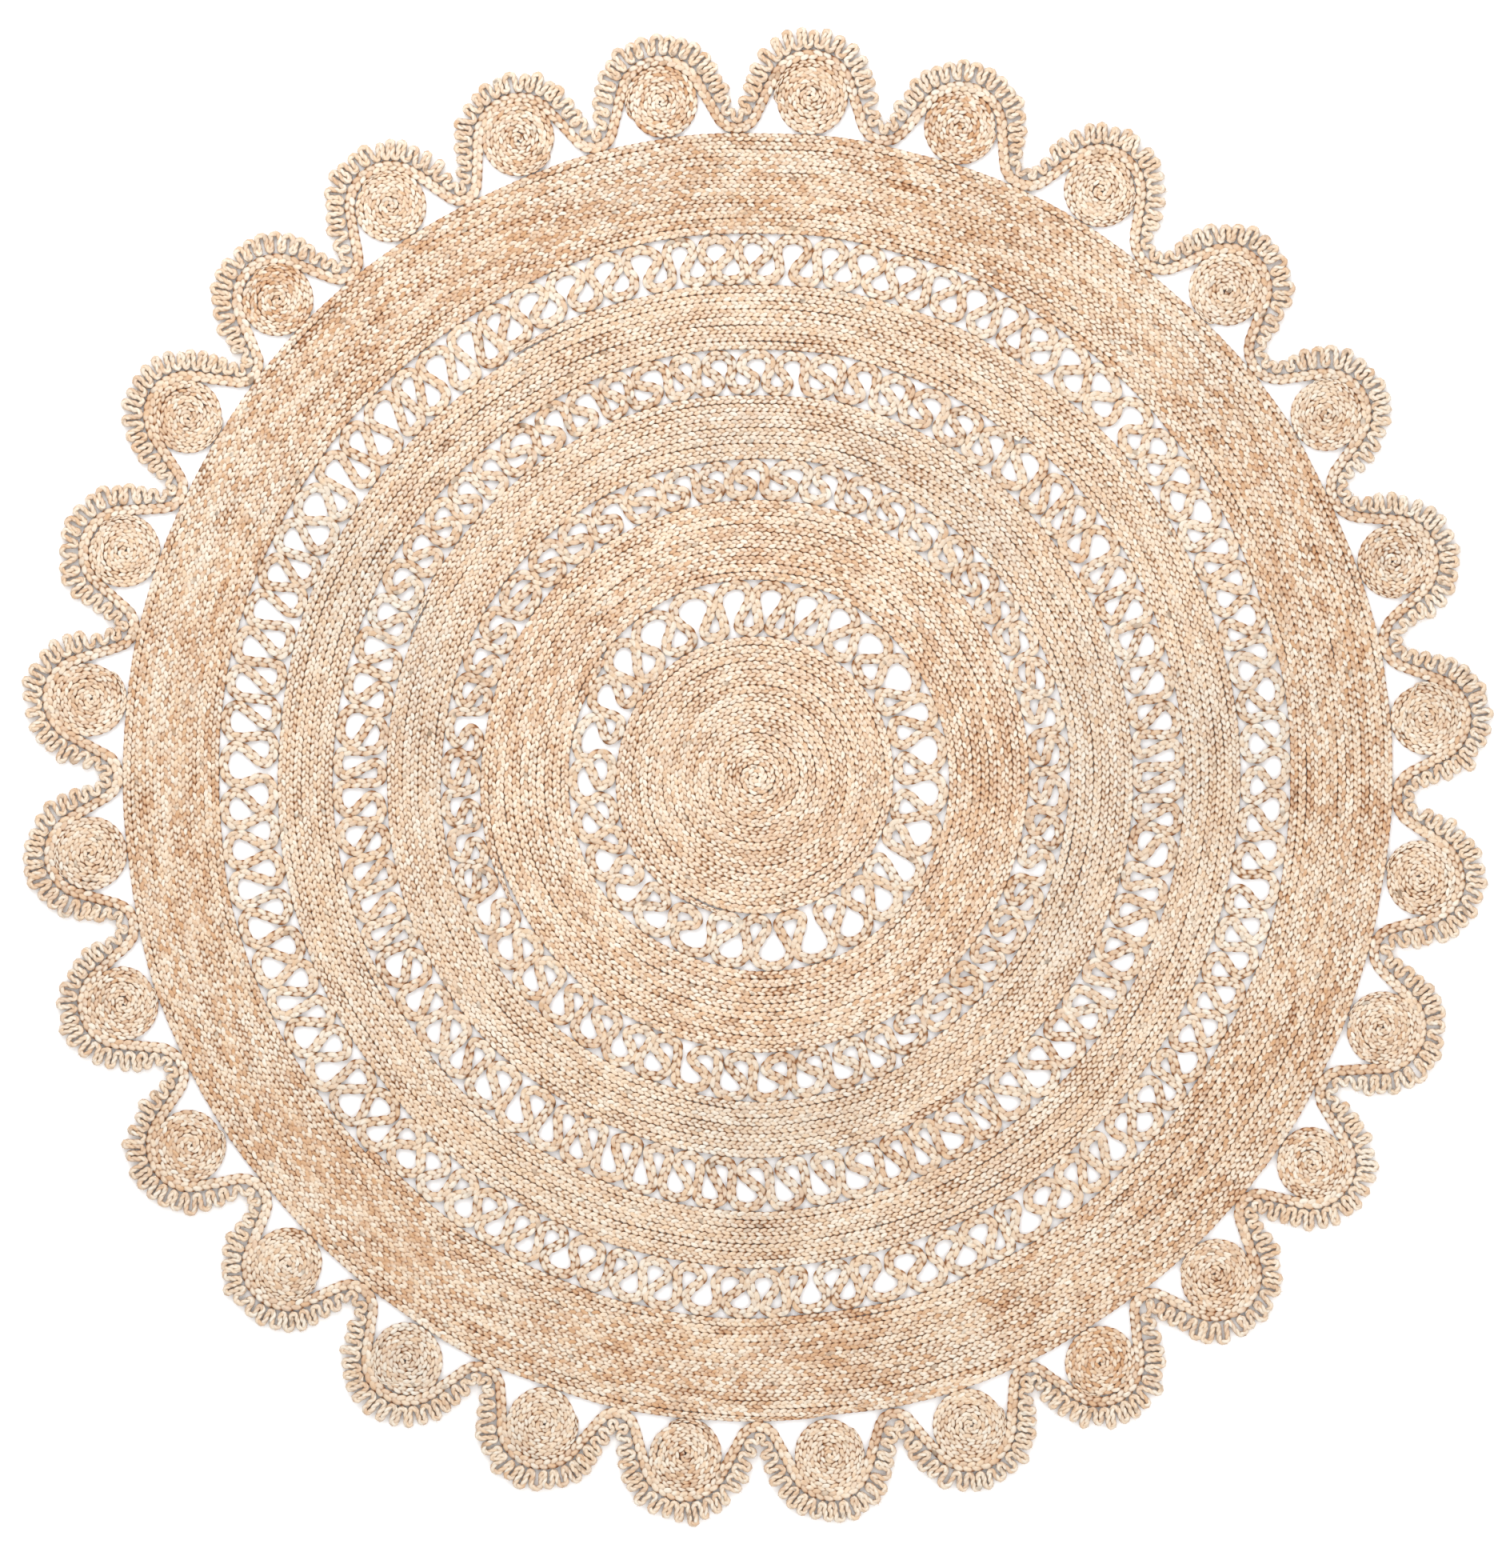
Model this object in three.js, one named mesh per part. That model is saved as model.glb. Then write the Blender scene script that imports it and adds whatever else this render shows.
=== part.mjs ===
import * as THREE from 'three';

// Round openwork rug sewn from one kind of three-strand plait.
// Millimetres, +Z up. The origin is the centre of the underside.

// Plait
const PLAIT_WIDTH = 11.6; // lying flat
const FLAT_THICKNESS = 7; // height of a plait lying flat
const EDGE_THICKNESS = 10; // height of a plait standing on its edge
const GAP = 0.3; // clearance between neighbouring pieces

// Rings, from the centre out
const DISC_RADIUS = 173;
const RINGS = [
  { openTo: 241, solidTo: 339, loops: 27, innerShift: 0.64 },
  { openTo: 394, solidTo: 467, loops: 50, innerShift: 0.27 },
  { openTo: 531.5, solidTo: 600.5, loops: 71, innerShift: 0.3 },
  { openTo: 668, solidTo: 790.5, loops: 85, innerShift: 0.61 },
];
const ARCH_RISE = 10; // peak of an openwork arch above its shoulders
const ARCH_CLEARANCE = 1.38; // plait widths kept between neighbouring shoulders

// Rim
const ROSETTE_COUNT = 28;
const ROSETTE_RADIUS = 45;
const EDGING_CREST_HEIGHT = 26.5; // reach of the loops at the top of a scallop
const EDGING_VALLEY_HEIGHT = 15; // most reach of the loops between two scallops
const VALLEY_ROOM = 10; // what a valley's radius must keep beyond that reach
const EDGING_NOTCH = 0.5; // depth of a notch as a part of the loop's reach
const TEETH_PER_SCALLOP = 10; // each tooth stands for two neighbouring loops

// The rug is made by hand. It is a little longer along Y than along X, and the
// rosettes drift from an even spacing, once and twice in a turn of the rug.
const OUT_OF_ROUND = 0.008;
const DEGREE = Math.PI / 180;
const SPACING_DRIFT = [
  { cycles: 1, size: 1.17 * DEGREE, phase: -44 * DEGREE },
  { cycles: 2, size: 1.18 * DEGREE, phase: -56 * DEGREE },
];

// Facets
const RING_FACETS = 2 * ROSETTE_COUNT;
const ROSETTE_FACETS = 16;
const FACET_ANGLE = (2 * Math.PI) / ROSETTE_FACETS;
const CREST_STEPS = 6; // facets of a scallop that lie along its rosette
const VALLEY_STEPS = 5;

const BAND_FACTOR = Math.cos(Math.PI / RING_FACETS);
const HALF_PLAIT = PLAIT_WIDTH / 2;
const RIM_RADIUS = RINGS[RINGS.length - 1].solidTo;
const SCALLOP_ANGLE = (2 * Math.PI) / ROSETTE_COUNT;
const ROSETTE_CENTRE = RIM_RADIUS + GAP + ROSETTE_RADIUS;

const jute = {
  disc: { color: 0xdcbc96, roughness: 0.92 },
  openwork: { color: 0xe3c8a5, roughness: 0.92 },
  band: { color: 0xdfbf98, roughness: 0.92 },
  rosette: { color: 0xdbb68c, roughness: 0.92 },
  scallop: { color: 0xe0c09a, roughness: 0.92 },
  edging: { color: 0xe6ceae, roughness: 0.94 },
};

const rug = new THREE.Group();
rug.name = 'area_rug';

function polar(radius, angle) {
  return new THREE.Vector2(radius * Math.cos(angle), radius * Math.sin(angle));
}

function addPiece(name, shape, height, look) {
  const geometry = new THREE.ExtrudeGeometry(shape, { depth: height, bevelEnabled: false, curveSegments: 1 });
  geometry.scale(1 - OUT_OF_ROUND, 1 + OUT_OF_ROUND, 1);
  const material = new THREE.MeshStandardMaterial({ ...look, metalness: 0 });
  const mesh = new THREE.Mesh(geometry, material);
  mesh.name = name;
  rug.add(mesh);
}

function circle(radius, facets, centre = new THREE.Vector2(), turn = 0) {
  const points = [];
  for (let i = 0; i < facets; i += 1) {
    points.push(polar(radius, turn + (2 * Math.PI * i) / facets).add(centre));
  }
  return points;
}

// Moves a closed line sideways, to its right when the distance is positive.
function offset(line, distance) {
  return line.map((point, i) => {
    const before = line[(i + line.length - 1) % line.length];
    const after = line[(i + 1) % line.length];
    const into = point.clone().sub(before).normalize();
    const out = after.clone().sub(point).normalize();
    const side = new THREE.Vector2(into.y + out.y, -into.x - out.x).normalize();
    const reach = typeof distance === 'function' ? distance(i) : distance;
    return point.clone().addScaledVector(side, reach / (side.x * out.y - side.y * out.x));
  });
}

function ringShape(outer, inner) {
  const shape = new THREE.Shape(outer);
  shape.holes.push(new THREE.Path(inner));
  return shape;
}

// Solid discs and bands

function addDisc() {
  addPiece('centre_disc', new THREE.Shape(circle(DISC_RADIUS, RING_FACETS)), FLAT_THICKNESS, jute.disc);
}

function addBand(index, inner, outer) {
  const shape = ringShape(circle(outer, RING_FACETS), circle(inner, RING_FACETS));
  addPiece(`solid_band_${index}`, shape, FLAT_THICKNESS, jute.band);
}

// Openwork: one plait winding to and fro between two solid parts, so that each
// arch leans on its neighbours and closes the opening of the arches opposite.

function openworkLine(inner, outer, loops, innerShift) {
  const pitch = (2 * Math.PI) / loops;
  const roof = HALF_PLAIT * 1.24;
  const outerPeak = outer * BAND_FACTOR - GAP - roof;
  const innerPeak = inner + GAP + roof;
  const shoulder = (radius) => (pitch * radius - ARCH_CLEARANCE * PLAIT_WIDTH) / 2 / radius;
  const line = [];
  for (let i = 0; i < loops; i += 1) {
    const outerMiddle = pitch * i;
    const innerMiddle = pitch * (i + innerShift);
    const outerShoulder = outerPeak - ARCH_RISE;
    const innerShoulder = innerPeak + ARCH_RISE;
    line.push(polar(outerShoulder, outerMiddle - shoulder(outerShoulder)));
    line.push(polar(outerPeak, outerMiddle));
    line.push(polar(outerShoulder, outerMiddle + shoulder(outerShoulder)));
    line.push(polar(innerShoulder, innerMiddle - shoulder(innerShoulder)));
    line.push(polar(innerPeak, innerMiddle));
    line.push(polar(innerShoulder, innerMiddle + shoulder(innerShoulder)));
  }
  return line;
}

function addOpenwork(index, inner, ring) {
  const line = openworkLine(inner, ring.openTo, ring.loops, ring.innerShift);
  const shape = ringShape(offset(line, HALF_PLAIT), offset(line, -HALF_PLAIT));
  addPiece(`openwork_ring_${index}`, shape, FLAT_THICKNESS, jute.openwork);
}

// Rim: rosettes, the scallop plait that runs over them, and the looped edging

function rosetteAngle(k) {
  const even = SCALLOP_ANGLE * (k + 0.5);
  return SPACING_DRIFT.reduce((angle, wave) => angle + wave.size * Math.sin(wave.cycles * even + wave.phase), even);
}

function addRosettes() {
  for (let k = 0; k < ROSETTE_COUNT; k += 1) {
    const angle = rosetteAngle(k);
    const points = circle(ROSETTE_RADIUS, ROSETTE_FACETS, polar(ROSETTE_CENTRE, angle), angle);
    const name = `rosette_${String(k + 1).padStart(2, '0')}`;
    addPiece(name, new THREE.Shape(points), FLAT_THICKNESS, jute.rosette);
  }
}

// Middle line of the scallop plait. It follows each rosette, leaves it along a
// straight flank and turns back in a round valley that touches the last band.
// Each point also tells how far the looped edging reaches out from it.
function scallopLine() {
  const crestRadius = ROSETTE_RADIUS + GAP + HALF_PLAIT / Math.cos(FACET_ANGLE / 2);
  const crestHalf = (CREST_STEPS / 2) * FACET_ANGLE;
  const floor = RIM_RADIUS + GAP + HALF_PLAIT;
  const line = [];
  for (let k = 0; k < ROSETTE_COUNT; k += 1) {
    const angle = rosetteAngle(k);
    const crest = polar(ROSETTE_CENTRE, angle);
    for (let i = 0; i <= CREST_STEPS; i += 1) {
      const point = polar(crestRadius, angle - crestHalf + i * FACET_ANGLE).add(crest);
      line.push({ point, reach: EDGING_CREST_HEIGHT });
    }
    const halfSpacing = (rosetteAngle(k + 1) - angle) / 2;
    const valleyAngle = angle + halfSpacing;
    const valleyHalf = crestHalf - halfSpacing;
    const valleyStep = (2 * valleyHalf) / VALLEY_STEPS;
    const slope = Math.cos(valleyHalf);
    const radius = (floor * slope - ROSETTE_CENTRE * Math.cos(crestHalf) - crestRadius)
      / (1 - slope * Math.cos(valleyStep / 2));
    const valley = polar(floor + radius * Math.cos(valleyStep / 2), valleyAngle);
    const reach = Math.min(EDGING_VALLEY_HEIGHT, radius - VALLEY_ROOM);
    for (let i = 0; i <= VALLEY_STEPS; i += 1) {
      const point = polar(radius, valleyAngle + Math.PI + valleyHalf - i * valleyStep).add(valley);
      line.push({ point, reach });
    }
  }
  return line;
}

function addScallop(points) {
  const shape = ringShape(offset(points, HALF_PLAIT), offset(points, -HALF_PLAIT));
  addPiece('scallop_braid', shape, FLAT_THICKNESS, jute.scallop);
}

// The edging stands off the scallop plait by the clearance. Its outer side is a
// row of teeth, spaced evenly along the plait from one valley to the next.
function addEdging(line) {
  const root = HALF_PLAIT + GAP;
  const points = line.map((place) => place.point);
  const tips = offset(points, (i) => root + line[i].reach);
  const notches = offset(points, (i) => root + line[i].reach * (1 - EDGING_NOTCH));
  const alongLine = [0];
  points.forEach((point, i) => {
    alongLine.push(alongLine[i] + point.distanceTo(points[(i + 1) % points.length]));
  });
  const total = alongLine[points.length];
  const perScallop = CREST_STEPS + VALLEY_STEPS + 2;
  const valleyMiddle = (k) => {
    const i = k * perScallop + CREST_STEPS + 1 + Math.floor(VALLEY_STEPS / 2);
    return (alongLine[i] + alongLine[i + 1]) / 2;
  };
  const outline = [];
  for (let k = 0; k < ROSETTE_COUNT; k += 1) {
    const from = k > 0 ? valleyMiddle(k - 1) : valleyMiddle(ROSETTE_COUNT - 1) - total;
    const steps = 2 * TEETH_PER_SCALLOP;
    for (let step = 0; step < steps; step += 1) {
      const along = (from + ((valleyMiddle(k) - from) * step) / steps + total) % total;
      const i = alongLine.findIndex((end) => end > along) - 1;
      const part = (along - alongLine[i]) / (alongLine[i + 1] - alongLine[i]);
      const side = step % 2 === 0 ? notches : tips;
      outline.push(side[i].clone().lerp(side[(i + 1) % side.length], part));
    }
  }
  addPiece('loop_edging', ringShape(outline, offset(points, root)), EDGE_THICKNESS, jute.edging);
}

addDisc();
let inner = DISC_RADIUS;
RINGS.forEach((ring, i) => {
  addOpenwork(i + 1, inner, ring);
  addBand(i + 1, ring.openTo, ring.solidTo);
  inner = ring.solidTo;
});
addRosettes();
const rim = scallopLine();
addScallop(rim.map((place) => place.point));
addEdging(rim);

// The origin is the middle of the underside of the whole rug.
const middle = new THREE.Box3().setFromObject(rug).getCenter(new THREE.Vector3());
rug.children.forEach((piece) => piece.geometry.translate(-middle.x, -middle.y, 0));

export default rug;
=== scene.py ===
"""Round hand-plaited jute rug: coiled bands, openwork rings and a scalloped rosette rim."""

import itertools
import math

import bpy
import numpy as np
from bpy.props import FloatProperty, FloatVectorProperty, IntProperty, PointerProperty
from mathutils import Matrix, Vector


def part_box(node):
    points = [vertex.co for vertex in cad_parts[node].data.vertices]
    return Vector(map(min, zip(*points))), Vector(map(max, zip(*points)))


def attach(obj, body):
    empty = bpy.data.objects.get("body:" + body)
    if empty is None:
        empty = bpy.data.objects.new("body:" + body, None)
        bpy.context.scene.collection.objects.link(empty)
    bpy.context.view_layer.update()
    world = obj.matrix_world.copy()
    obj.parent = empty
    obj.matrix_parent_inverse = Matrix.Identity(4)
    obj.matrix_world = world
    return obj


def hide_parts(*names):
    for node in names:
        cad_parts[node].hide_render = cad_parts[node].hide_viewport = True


bl_info = {
    "name": "Plaited Jute Rug",
    "version": (1, 0, 0),
    "blender": (4, 5, 0),
    "location": "3D View > Sidebar > Rug",
    "description": "Builds a round openwork jute rug plait by plait",
    "category": "Add Mesh",
}

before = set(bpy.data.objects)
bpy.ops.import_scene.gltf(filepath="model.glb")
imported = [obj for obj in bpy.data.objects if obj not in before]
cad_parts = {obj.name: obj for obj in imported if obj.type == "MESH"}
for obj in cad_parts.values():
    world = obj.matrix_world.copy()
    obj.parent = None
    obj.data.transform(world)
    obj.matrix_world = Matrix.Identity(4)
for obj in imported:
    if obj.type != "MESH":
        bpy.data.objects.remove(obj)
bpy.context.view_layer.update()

TURN = 2 * math.pi
UP = np.array([0.0, 0.0, 1.0])

# How finely things are made.
SIDES = 6  # corners of a strand's section
STEPS = 10  # rings of a strand in one full weave of a sewn row
FREE_STEPS = 13  # the same where a plait is bent
OPENWORK_STEPS = 17  # the same in the openwork, whose weave is longer
FACES_PER_PIECE = 92000  # quads, so that a long plait is made in handy lengths
RIM_LENGTHS = 3  # the plaits round the rim are made in thirds

# A plait: widths and heights of a strand are parts of the plait's own.
STRANDS = 3
STRAND_WIDTH = 0.465
OPENWORK_STRAND_WIDTH = 0.50
SCALLOP_STRAND_WIDTH = 0.49
STRAND_HEIGHT = 0.70
ON_EDGE_STRAND_HEIGHT = 0.60
ON_EDGE_STRAND_WIDTH = 0.62
COLUMN_STAY = 0.10  # how long a strand keeps to its column before it crosses over
CROSSING_LEAD = 0.26  # how early a strand dives, as an angle of the weave
CROSSING_FLATNESS = 0.13
SECTION_ROUNDNESS = 0.75  # 1 is an ellipse, less is squarer
YARN_OFFSET = 3.7  # every strand's yarn starts this much further on, so that no two look alike
CAP_SPREAD = 0.2  # width of a strand's end on the flat map, in its cells
CLOSING_LENGTH = 0.03  # where a closed plait's ends meet, its irregularity dies away

# Hand irregularity of a plait: how far apart the changes are, and how large they are.
WEAVE_CHANGES = (0.06, 0.35)
LIFT_CHANGES = (0.045, 0.00022)
SIDEWAYS_CHANGES = (0.05, 0.00028)
SWELL_CHANGES = (0.018, 0.07)

# Coils.
POINTS_PER_TURN = 360
COIL_START = 0.0004  # radius at which a coil with no hole begins
DISC_BEGINNING = 0.6  # angle at which the disc's coil begins
BAND_BEGINNINGS = (2.5, 5.2, 0.9, 3.9)
TAPER_LENGTH = 0.07  # length in which the end of a coil thins out
TAPER_WIDTH = 0.45  # width of its end beside the rest
TIDY_JOGGLE = 0.1  # part of a turn in which the outermost band steps from row to row
TAIL_PART = 0.62  # part of a tail's run that shows before it slips under

# Openwork.
OPENWORK_LOOPS = (27, 50, 71, 85)
OPENWORK_SHIFT = (0.64, 0.27, 0.30, 0.61)  # place of an inner arch between two outer ones
ARCH_BENDS = (176, 135, 90, 45, 4)  # degrees round an arch at which its line is set
ARCH_ROUNDNESS = 0.76  # 1 is an ellipse, less is squarer
ARCH_STEPS = 6  # points of the smooth line for each bend
ARCH_DEEPEST = 0.42  # most height of an arch, as a part of the ring's depth
ARCH_BITE = 0.84  # an arch's middle line lies this many half widths from the band it is sewn to

# Rim.
SCALLOPS = 28
SCALLOP_LEAN = math.radians(67.5)  # how far round its rosette the scallop plait keeps to it
CREST_POINTS, FLANK_POINTS, VALLEY_POINTS = 40, 12, 24  # of its line over, beside and between rosettes
SCALLOP_FULLNESS = 1.05  # width beside that of the openwork
SCALLOP_WEAVE = 1.12  # weave length beside that of the sewn rows
ROSETTE_WEAVE = 1.08
ROSETTE_TIDY_TURNS = 2.5
EDGING_WEAVE = 0.85
LOOP_POINTS = 10  # points that set one loop of the edging
LOOP_STEPS = 4  # points of the smooth line for each of them
LOOP_ROUNDING = 0.72  # how far along its turn the corner of a loop is set
ROOT_CORNER, TIP_CORNER = 0.32, 0.30  # and how far up it
VALLEY_SHARPNESS = 1.7  # more keeps the long loops further down the flanks
FIBRE_RADII = (0.00014, 0.00026)  # thinnest and thickest loose fibre
FIBRE_TIP = 0.45  # thickness of a loose fibre's tip beside its root
FIBRE_FLOOR = 0.0004  # a loose fibre lies no lower

# Start values of the random draws.
WANDER_SEED, DISC_SEED, BAND_SEED, OPENWORK_SEED, ROSETTE_SEED, SCALLOP_SEED, EDGING_SEED = (
    5, 11, 20, 40, 100, 71, 83)

# Tints that multiply the jute's colour.
GREY_TINT = (0.93, 0.96, 1.0, 1)
# painted shade: a warm brown that darkens the sides of the strands which face sideways
SIDE_SHADE_TINT = (0.52, 0.31, 0.17, 1)
# painted shade: a darker brown for what lies deep between the strands, near the middle of a plait's height
DEEP_SHADE_TINT = (0.40, 0.21, 0.10, 1)

# Middle of the painted deep shade on the edging, as a part of its height: that is under the floor, so only
# the edging's foot gets painted shade.
EDGING_SHADE_MIDDLE = -0.3

# Looks of the jute: share of honey fibres, strength of the grey patches, brightness.
DISC_LOOK = (0.45, 0.3, 1.035)
BAND_LOOKS = ((0.6, 0.2, 1.04), (0.35, 0.7, 1.01), (0.35, 0.8, 1.0), (0.75, 0.4, 1.0))
OPENWORK_LOOKS = ((0.35, 0.3, 0.96), (0.5, 0.4, 0.96), (0.45, 0.6, 0.96), (0.3, 0.9, 0.96))
ROSETTE_LOOKS = ((0.35, 0.9, 1.0), (0.6, 0.4, 1.0), (0.85, 0.2, 1.0), (0.5, 0.6, 1.0))
SCALLOP_LOOK = (0.55, 0.4, 1.0)
EDGING_LOOK = (0.45, 0.3, 0.99)

# Stage.
FLOOR_REACH = 8.0
FLOOR_DROP = 0.0004  # the floor lies a hair below the rug
SKY_STRENGTH = 1.15
LAMPS = (  # name, place, side length, watts
    ("Key Light", (-0.9, 2.4, 2.6), 2.2, 60),
    ("Fill Light", (2.2, -1.4, 2.8), 2.6, 22),
)
CAMERA_HEIGHT = 12.0
CAMERA_ASIDE = (-0.0054, -0.0089)
VIEW_HEIGHT = 1.9365
FILM_WIDTH = 36.0


# ---------------------------------------------------------------- settings


class RugSizes(bpy.types.PropertyGroup):
    """Sizes of the plait and of its loops."""

    plait_width: FloatProperty(
        name="Plait Width", description="Width of a plait lying flat", default=0.0116, unit="LENGTH"
    )
    row_pitch: FloatProperty(
        name="Row Pitch", description="Distance between sewn rows", default=0.0098, unit="LENGTH"
    )
    snugness: FloatProperty(
        name="Snugness", description="Width of a sewn plait beside the row pitch", default=1.12
    )
    fullness: FloatProperty(
        name="Fullness", description="Width of a free plait beside its nominal width", default=1.13
    )
    thickness: FloatProperty(
        name="Thickness", description="Height of a plait lying flat", default=0.007, unit="LENGTH"
    )
    weave_length: FloatProperty(
        name="Weave Length", description="Length in which a strand crosses and returns",
        default=0.0290, unit="LENGTH"
    )
    open_weave: FloatProperty(
        name="Open Weave", description="Weave length of the openwork beside the sewn rows'", default=1.32
    )
    edge_width: FloatProperty(
        name="Width On Edge", description="Width of a plait that stands on its edge",
        default=0.0074, unit="LENGTH"
    )
    loops_per_scallop: IntProperty(
        name="Loops per Scallop", description="Edging loops between two valleys", default=19
    )
    crest_reach: FloatProperty(
        name="Crest Reach", description="Reach of the edging loops over a rosette",
        default=0.0275, unit="LENGTH"
    )
    valley_reach: FloatProperty(
        name="Valley Reach", description="Reach of the edging loops in a valley",
        default=0.0175, unit="LENGTH"
    )


class RugColours(bpy.types.PropertyGroup):
    """Colours of the jute and the setting."""

    cream: FloatVectorProperty(
        name="Cream", description="Palest fibres", subtype="COLOR", size=4, default=(0.755, 0.69, 0.59, 1)
    )
    straw: FloatVectorProperty(
        name="Straw", description="Usual fibres", subtype="COLOR", size=4, default=(0.69, 0.515, 0.355, 1)
    )
    honey: FloatVectorProperty(
        name="Honey", description="Warmer fibres", subtype="COLOR", size=4, default=(0.50, 0.255, 0.11, 1)
    )
    bark: FloatVectorProperty(
        name="Bark", description="Darkest flecks", subtype="COLOR", size=4, default=(0.15, 0.095, 0.06, 1)
    )
    floor: FloatVectorProperty(
        name="Floor", description="Pale floor", subtype="COLOR", size=4, default=(0.96, 0.96, 0.96, 1)
    )


def sizes():
    return bpy.context.scene.rug_sizes


def colours():
    return bpy.context.scene.rug_colours


# ------------------------------------------------------------ places from the frame


def box_middle(node):
    low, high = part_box(node)
    return np.array([(low[0] + high[0]) / 2, (low[1] + high[1]) / 2])


def box_radii(node):
    low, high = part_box(node)
    return np.array([(high[0] - low[0]) / 2, (high[1] - low[1]) / 2])


MIDDLE = box_middle("centre_disc")
RIM_RADII = box_radii("solid_band_4")
RIM_RADIUS = float(RIM_RADII.mean())
STRETCH = RIM_RADII / RIM_RADIUS  # the rug is a little longer one way


def ring_radius(node):
    return float((box_radii(node) / STRETCH).mean())


def as_round(point):
    """A place on the rug, as it would be if the rug were truly round."""
    return (np.asarray(point) - MIDDLE) / STRETCH


RING_RADII = [ring_radius("centre_disc")]
for ring in range(1, 5):
    RING_RADII.append(ring_radius(f"openwork_ring_{ring}"))
    RING_RADII.append(ring_radius(f"solid_band_{ring}"))


# ---------------------------------------------------------------- hand irregularity


def wander_waves(rng, count=9, size=0.0007):
    """A few long waves that bend every row a little."""
    waves = []
    for _ in range(count):
        length = rng.uniform(0.16, 0.5)
        heading = rng.uniform(0, TURN)
        push = rng.uniform(0, TURN)
        wave = TURN / length * np.array([math.cos(heading), math.sin(heading)])
        phase = rng.uniform(0, TURN)
        waves.append((wave, phase, size * np.array([math.cos(push), math.sin(push)])))
    return waves


WANDER = wander_waves(np.random.default_rng(WANDER_SEED))


def laid_by_hand(points):
    """Moves points of the true round to where the hand laid them on the floor."""
    moved = np.array(points, float)
    for wave, phase, push in WANDER:
        moved += np.sin(points @ wave + phase)[:, None] * push
    return moved * STRETCH + MIDDLE


def wobble(rng, length, changes):
    """A smooth random value for each place along a plait."""
    scale, amount = changes
    knots = max(4, int(length[-1] / scale) + 3)
    values = rng.normal(0, amount, knots)
    at = length / scale
    low = np.clip(at.astype(int), 0, knots - 2)
    part = at - low
    part = part * part * (3 - 2 * part)
    return values[low] * (1 - part) + values[low + 1] * part


# ---------------------------------------------------------------- plaits


def lengths_along(points):
    step = np.linalg.norm(np.diff(points, axis=0), axis=1)
    return np.concatenate([[0], np.cumsum(step)])


def resample(points, values, spacing):
    along = lengths_along(points)
    count = max(4, int(round(along[-1] / spacing)) + 1)
    even = np.linspace(0, along[-1], count)
    path = np.stack([np.interp(even, along, points[:, i]) for i in range(2)], 1)
    return path, np.interp(even, along, values), even


def unit(vectors):
    return vectors / np.maximum(np.linalg.norm(vectors, axis=-1, keepdims=True), 1e-12)


def plait(points, widths, width, height, rng, on_edge=False, weave=None, closed=False, steps=STEPS,
          strand_width=STRAND_WIDTH):
    """The three strands of a plait laid along points of the true round.

    Each strand is its middle line, its two section directions, its two section radii and how far along
    it each ring lies. widths scales the plait's width from place to place.
    """
    weave = weave or sizes().weave_length
    path, widths, along = resample(points, widths, weave / steps)
    path = laid_by_hand(path)
    if not closed:
        across = unit(np.gradient(path, axis=0))[:, ::-1] * [-1, 1]
        path = path + across * wobble(rng, lengths_along(path), SIDEWAYS_CHANGES)[:, None]
    ahead = unit(np.gradient(path, axis=0))
    if closed:
        joint = unit((ahead[0] + ahead[-1])[None])[0]
        ahead[0] = ahead[-1] = joint
    left = np.stack([-ahead[:, 1], ahead[:, 0], np.zeros(len(ahead))], 1)
    line = np.zeros((len(path), 3))
    line[:, :2] = path
    turns = max(1, round(along[-1] / weave)) if closed else along[-1] / weave
    fade = np.minimum(1, np.minimum(along, along[-1] - along) / CLOSING_LENGTH) if closed else 1
    base_phase = TURN * turns * along / along[-1] + wobble(rng, along, WEAVE_CHANGES) * fade
    lift = wobble(rng, along, LIFT_CHANGES) * fade
    half_wide, half_high = width / 2, height / 2
    strands = []
    for strand in range(STRANDS):
        phase = base_phase + TURN * strand / STRANDS
        swell = 1 + wobble(rng, along, SWELL_CHANGES) * fade
        if on_edge:
            across_radius, deep_radius = half_high * ON_EDGE_STRAND_HEIGHT, half_wide * ON_EDGE_STRAND_WIDTH
            across_way, deep_way = UP[None, :], left
            across = (half_high - across_radius) * np.sin(phase)
            deep = (half_wide - deep_radius) * np.sin(2 * phase)
            spread = np.ones(len(path))
        else:
            across_radius, deep_radius = half_wide * strand_width, half_high * STRAND_HEIGHT
            across_way, deep_way = left, UP[None, :]
            # A strand runs nearly straight along each column and crosses over quickly.
            sway = (np.sin(phase) + COLUMN_STAY * np.sin(3 * phase)) / (1 - COLUMN_STAY)
            beat = 2 * phase - CROSSING_LEAD
            heave = (np.sin(beat) + CROSSING_FLATNESS * np.sin(3 * beat)) / (1 - CROSSING_FLATNESS)
            across = (half_wide - across_radius) * sway
            deep = (half_high - deep_radius) * heave
            spread = widths
        middle = line + across_way * (across * spread)[:, None] + deep_way * deep[:, None]
        middle[:, 2] += half_high + lift
        heading = unit(np.gradient(middle, axis=0))
        if on_edge:
            side = unit(np.cross(heading, left))
            side *= np.sign(side[:, 2:3])
        else:
            side = unit(np.cross(UP[None, :], heading))
        strands.append({
            "middle": middle,
            "side": side,
            "rise": np.cross(heading, side),
            "side_radius": across_radius * swell * spread,
            "rise_radius": deep_radius * swell,
            "along": lengths_along(middle),
        })
    return strands


def cut_strands(strands, rings):
    """Splits a plait's strands into lengths of at most this many rings."""
    total = len(strands[0]["middle"])
    parts = max(1, math.ceil((total - 1) / rings))
    edges = np.linspace(0, total - 1, parts + 1).round().astype(int)
    pieces = []
    for low, high in zip(edges[:-1], edges[1:]):
        part = []
        for strand in strands:
            cut = {key: value[low:high + 1] if isinstance(value, np.ndarray) else value
                   for key, value in strand.items()}
            part.append(cut)
        pieces.append(part)
    return pieces


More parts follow.
